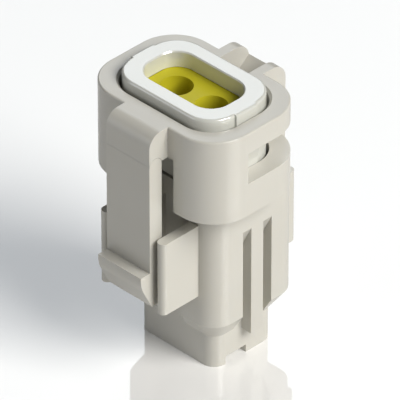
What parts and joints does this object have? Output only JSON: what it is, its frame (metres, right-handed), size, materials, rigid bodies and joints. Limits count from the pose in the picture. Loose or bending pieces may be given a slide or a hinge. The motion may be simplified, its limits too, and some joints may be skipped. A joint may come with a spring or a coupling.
{
  "type": "sealed wire-to-wire connector",
  "caption": "Sealed two-way wire-to-wire connector half: a moulded housing with a spring latch arm, a snap-in seal cap over a soft wire seal, and socket contacts behind a front retainer.",
  "frame": {"origin": "on the flat mating face at the nose's end, midway between the two ways", "axes": "+Z runs from the mating face to the wire entry, +X runs from the left way to the right way, -Y faces the latch arm"},
  "size_m": [0.0154, 0.0166, 0.0258],
  "materials": {
    "housing_plastic": "natural ivory moulded plastic, semi gloss",
    "cap_plastic": "off-white moulded plastic, semi gloss",
    "seal_silicone": "olive yellow silicone rubber, satin",
    "contact_metal": "tin-plated copper alloy, satin"
  },
  "bodies": {
    "connector": {"housing": "housing_plastic", "seal_cap": "cap_plastic", "wire_seal": "seal_silicone", "front_retainer": "cap_plastic", "left_contact": "contact_metal", "right_contact": "contact_metal"},
    "latch": {"latch_arm": "housing_plastic"}
  },
  "joints": [
    {"name": "latch_flex", "type": "hinge", "parent": "connector", "child": "latch", "pos_m": [0, -0.00681, 0.02185], "axis": [1, 0, 0], "range_deg": [0, 8], "stiffness_Nm_per_rad": 0.05}
  ]
}
